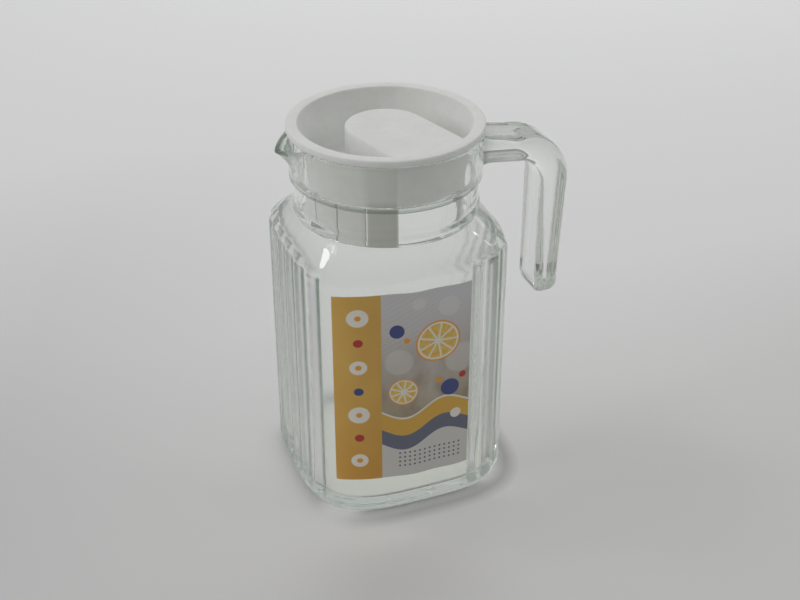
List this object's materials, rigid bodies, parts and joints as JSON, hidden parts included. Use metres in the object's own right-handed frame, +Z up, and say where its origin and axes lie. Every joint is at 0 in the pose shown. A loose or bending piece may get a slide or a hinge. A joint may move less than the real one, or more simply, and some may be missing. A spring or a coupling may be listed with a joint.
{
  "type": "glass jug with lid",
  "caption": "Square glass jug with fluted ends, a round neck with a pouring spout, an open ended handle and a white lid with a grip and a strainer.",
  "frame": {"origin": "middle of the base, on the surface that the jug stands on", "axes": "+Z up, +X towards the handle, -X towards the spout, -Y towards the labelled front"},
  "size_m": [0.1382, 0.1003, 0.177],
  "materials": {
    "glass": "clear polished, faint green tint in thick edges",
    "label": "printed paper, slightly glossy",
    "lid": "white, softly matte, lightly scuffed"
  },
  "bodies": {
    "jug": {"jug_base": "glass", "jug_walls": "glass", "jug_shoulder": "glass", "jug_neck": "glass", "jug_collar": "glass", "jug_spout": "glass", "jug_handle": "glass", "label": "label"},
    "lid_flange": {"lid_rim": "lid"},
    "lid": {"lid_bowl": "lid", "lid_grip": "lid", "lid_strainer": "lid"}
  },
  "joints": [
    {"name": "lid_lift", "type": "slide", "parent": "jug", "child": "lid_flange", "axis": [0, 0, 1], "range_m": [0, 0.06]},
    {"name": "lid_turn", "type": "hinge", "parent": "lid_flange", "child": "lid", "pos_m": [0, 0, 0.165], "axis": [0, 0, 1], "continuous": true}
  ]
}
